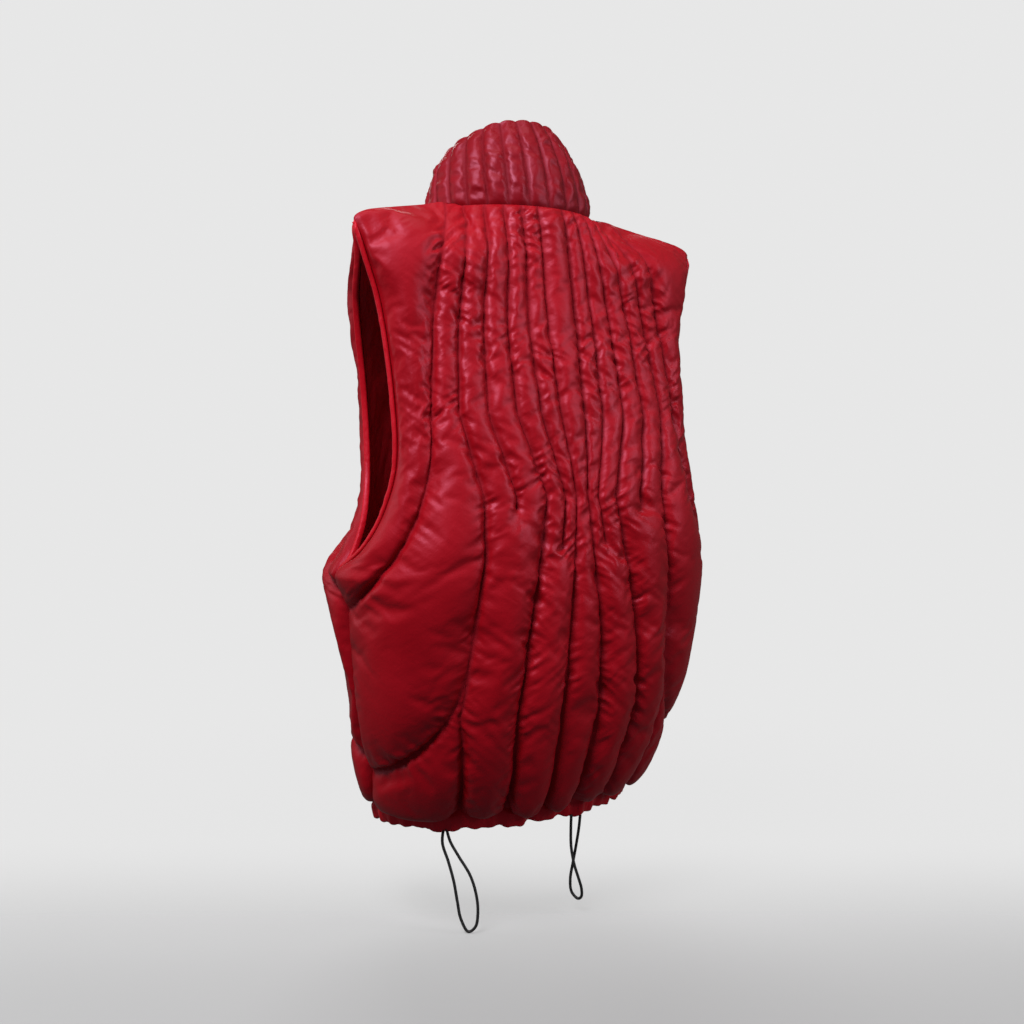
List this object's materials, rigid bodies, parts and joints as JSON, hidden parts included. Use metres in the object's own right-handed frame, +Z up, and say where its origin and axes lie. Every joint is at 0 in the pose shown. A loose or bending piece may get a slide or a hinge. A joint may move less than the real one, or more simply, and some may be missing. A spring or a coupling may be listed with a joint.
{
  "type": "puffer vest",
  "caption": "Filled-out sleeveless puffer vest with a quilted body, funnel collar, front zip, gathered hem casing and loops of elastic cord.",
  "frame": {"origin": "on the shoulder line, midway between the two points where the shoulder seams meet the collar", "axes": "+Z up, +X towards the wearer's left, +Y towards the wearer's back; the garment faces -Y"},
  "size_m": [0.437, 0.2494, 0.8189],
  "materials": {
    "shell": "deep red glossy nylon taffeta",
    "lining": "dark maroon satin lining",
    "tape": "matt woven tape",
    "zip": "moulded teeth, satin",
    "hardware": "black enamel",
    "cord": "black braided elastic"
  },
  "bodies": {
    "vest": {"back": "shell", "front_left": "shell", "front_right": "shell", "collar": "shell", "hem_casing": "shell", "armhole_binding_left": "shell", "armhole_binding_right": "shell", "lining_back": "lining", "lining_front_left": "lining", "lining_front_right": "lining", "zip_tape_left": "tape", "zip_tape_right": "tape", "zip_chain": "zip", "zip_slider": "hardware", "drawcord_left": "cord", "drawcord_right": "cord"},
    "pull_tab": {"zip_pull_tab": "hardware"}
  },
  "joints": [
    {"name": "pull_tab_swing", "type": "hinge", "parent": "vest", "child": "pull_tab", "pos_m": [0, -0.1223, -0.0016], "axis": [1, 0, 0], "range_deg": [-160, 0]}
  ]
}
